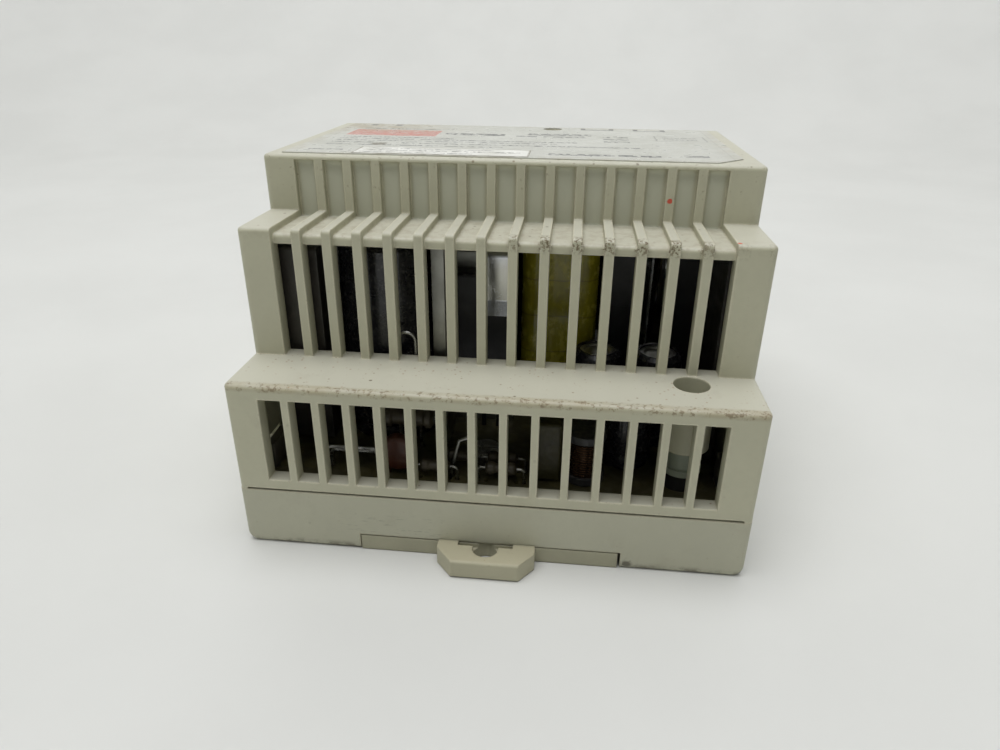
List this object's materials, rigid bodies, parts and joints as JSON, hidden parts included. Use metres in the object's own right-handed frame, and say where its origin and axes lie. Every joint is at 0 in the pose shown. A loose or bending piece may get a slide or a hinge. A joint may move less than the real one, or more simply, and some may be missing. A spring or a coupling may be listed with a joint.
{
  "type": "din rail power supply",
  "caption": "Stepped modular power supply with slotted vents, a front label, rising-cage screw terminals and a spring latch for a 35 mm rail.",
  "frame": {"origin": "middle of the seat face that bears on the rail", "axes": "+X along the rail, +Y across it towards the fixed hook and the terminals, away from the latch tab, +Z out of the rail towards the label"},
  "size_m": [0.078, 0.0981, 0.0571],
  "materials": {
    "cover_plastic": "warm beige-grey moulded plastic, fine grain, yellowed edges",
    "base_plastic": "moulded plastic, slightly greyer than the cover",
    "latch_plastic": "moulded plastic, smooth",
    "spring_wire": "drawn spring wire",
    "label_film": "satin printed film, blank blocks in place of print",
    "sticker_paper": "white coated paper",
    "board_laminate": "lacquered glass laminate",
    "terminal_plastic": "black moulded plastic",
    "tinned_brass": "tin plated",
    "plated_clamp": "zinc plated",
    "zinc_steel": "zinc plated",
    "lamp_resin": "cloudy green epoxy",
    "black_plastic": "moulded",
    "black_epoxy": "moulded epoxy",
    "trimmer_plastic": "moulded",
    "rotor_plastic": "moulded",
    "ferrite": "ground and sintered",
    "yellow_tape": "polyester tape over copper",
    "bare_aluminium": "sheared and rolled sheet",
    "black_aluminium": "black anodised sheet",
    "spring_steel": "bright nickel plated",
    "can_aluminium": "drawn can",
    "black_sleeve": "shrunk vinyl sleeve",
    "brown_resin": "moulded box",
    "yellow_resin": "moulded box",
    "orange_resin": "dipped resin",
    "beige_resin": "dipped resin with colour bands",
    "tinned_wire": "tinned copper",
    "enamelled_copper": "enamelled copper wire",
    "fuse_ceramic": "glazed tube",
    "green_resin": "dipped resin",
    "blue_resin": "dipped resin",
    "clear_film": "clear polyester sheet"
  },
  "bodies": {
    "housing": {"base": "base_plastic", "board_screws": "zinc_steel", "bridge_rectifier": "black_epoxy", "choke_core": "ferrite", "choke_windings": "enamelled_copper", "circuit_board": "board_laminate", "control_board": "board_laminate", "control_chips": "black_epoxy", "cover": "cover_plastic", "disc_capacitors": "orange_resin", "film_capacitor": "yellow_resin", "filter_capacitor": "brown_resin", "front_label": "label_film", "fuse": "fuse_ceramic", "fuse_clips": "tinned_brass", "indicator_lamp": "lamp_resin", "input_capacitor": "can_aluminium", "input_capacitor_sleeve": "black_sleeve", "input_terminal_block": "terminal_plastic", "inrush_limiter": "green_resin", "insulation_film": "clear_film", "lamp_spacer": "black_plastic", "latch_spring": "spring_wire", "output_capacitor_sleeves": "black_sleeve", "output_capacitors": "can_aluminium", "output_choke_core": "ferrite", "output_choke_winding": "enamelled_copper", "output_rectifier": "black_epoxy", "output_terminal_block": "terminal_plastic", "power_transistor": "black_epoxy", "primary_heat_sink": "bare_aluminium", "rectifier_screw": "zinc_steel", "resistor_leads": "tinned_wire", "resistors": "beige_resin", "secondary_heat_sink": "black_aluminium", "serial_sticker": "sticker_paper", "terminal_contacts": "tinned_brass", "transformer_bobbin": "black_plastic", "transformer_core": "ferrite", "transformer_tape": "yellow_tape", "transistor_clip": "spring_steel", "trimmer_body": "trimmer_plastic", "varistor": "blue_resin", "wire_links": "tinned_wire"},
    "latch": {"latch_slider": "latch_plastic"},
    "trimmer": {"trimmer_rotor": "rotor_plastic"},
    "screw_1": {"terminal_screw_1": "zinc_steel"},
    "clamp_1": {"terminal_clamp_1": "plated_clamp"},
    "screw_2": {"terminal_screw_2": "zinc_steel"},
    "clamp_2": {"terminal_clamp_2": "plated_clamp"},
    "screw_3": {"terminal_screw_3": "zinc_steel"},
    "clamp_3": {"terminal_clamp_3": "plated_clamp"},
    "screw_4": {"terminal_screw_4": "zinc_steel"},
    "clamp_4": {"terminal_clamp_4": "plated_clamp"},
    "screw_5": {"terminal_screw_5": "zinc_steel"},
    "clamp_5": {"terminal_clamp_5": "plated_clamp"},
    "screw_6": {"terminal_screw_6": "zinc_steel"},
    "clamp_6": {"terminal_clamp_6": "plated_clamp"},
    "screw_7": {"terminal_screw_7": "zinc_steel"},
    "clamp_7": {"terminal_clamp_7": "plated_clamp"}
  },
  "joints": [
    {"name": "latch_slide", "type": "slide", "parent": "housing", "child": "latch", "axis": [0, -1, 0], "range_m": [0, 0.005], "stiffness_N_per_m": 800, "springref_m": -0.002, "deforming": ["latch_spring"]},
    {"name": "trimmer_turn", "type": "hinge", "parent": "housing", "child": "trimmer", "pos_m": [0.0054, 0.01755, 0.0463], "axis": [0, 0, 1], "range_deg": [-130, 130]},
    {"name": "screw_1_turn", "type": "hinge", "parent": "housing", "child": "screw_1", "pos_m": [-0.031, 0.0396, 0.0153], "axis": [0, 0, -1], "range_deg": [0, 1728]},
    {"name": "clamp_1_rise", "type": "slide", "parent": "housing", "child": "clamp_1", "axis": [0, 0, 1], "range_m": [0, 0.0024]},
    {"name": "screw_2_turn", "type": "hinge", "parent": "housing", "child": "screw_2", "pos_m": [-0.025, 0.0396, 0.0153], "axis": [0, 0, -1], "range_deg": [0, 1728]},
    {"name": "clamp_2_rise", "type": "slide", "parent": "housing", "child": "clamp_2", "axis": [0, 0, 1], "range_m": [0, 0.0024]},
    {"name": "screw_3_turn", "type": "hinge", "parent": "housing", "child": "screw_3", "pos_m": [-0.019, 0.0396, 0.0153], "axis": [0, 0, -1], "range_deg": [0, 1728]},
    {"name": "clamp_3_rise", "type": "slide", "parent": "housing", "child": "clamp_3", "axis": [0, 0, 1], "range_m": [0, 0.0024]},
    {"name": "screw_4_turn", "type": "hinge", "parent": "housing", "child": "screw_4", "pos_m": [0.011, 0.0396, 0.0153], "axis": [0, 0, -1], "range_deg": [0, 1728]},
    {"name": "clamp_4_rise", "type": "slide", "parent": "housing", "child": "clamp_4", "axis": [0, 0, 1], "range_m": [0, 0.0024]},
    {"name": "screw_5_turn", "type": "hinge", "parent": "housing", "child": "screw_5", "pos_m": [0.017, 0.0396, 0.0153], "axis": [0, 0, -1], "range_deg": [0, 1728]},
    {"name": "clamp_5_rise", "type": "slide", "parent": "housing", "child": "clamp_5", "axis": [0, 0, 1], "range_m": [0, 0.0024]},
    {"name": "screw_6_turn", "type": "hinge", "parent": "housing", "child": "screw_6", "pos_m": [0.023, 0.0396, 0.0153], "axis": [0, 0, -1], "range_deg": [0, 1728]},
    {"name": "clamp_6_rise", "type": "slide", "parent": "housing", "child": "clamp_6", "axis": [0, 0, 1], "range_m": [0, 0.0024]},
    {"name": "screw_7_turn", "type": "hinge", "parent": "housing", "child": "screw_7", "pos_m": [0.029, 0.0396, 0.0153], "axis": [0, 0, -1], "range_deg": [0, 1728]},
    {"name": "clamp_7_rise", "type": "slide", "parent": "housing", "child": "clamp_7", "axis": [0, 0, 1], "range_m": [0, 0.0024]}
  ],
  "couplings": [
    {"joint": "screw_1_turn", "follows": "clamp_1_rise", "rad_per_m": 12566},
    {"joint": "screw_2_turn", "follows": "clamp_2_rise", "rad_per_m": 12566},
    {"joint": "screw_3_turn", "follows": "clamp_3_rise", "rad_per_m": 12566},
    {"joint": "screw_4_turn", "follows": "clamp_4_rise", "rad_per_m": 12566},
    {"joint": "screw_5_turn", "follows": "clamp_5_rise", "rad_per_m": 12566},
    {"joint": "screw_6_turn", "follows": "clamp_6_rise", "rad_per_m": 12566},
    {"joint": "screw_7_turn", "follows": "clamp_7_rise", "rad_per_m": 12566}
  ]
}
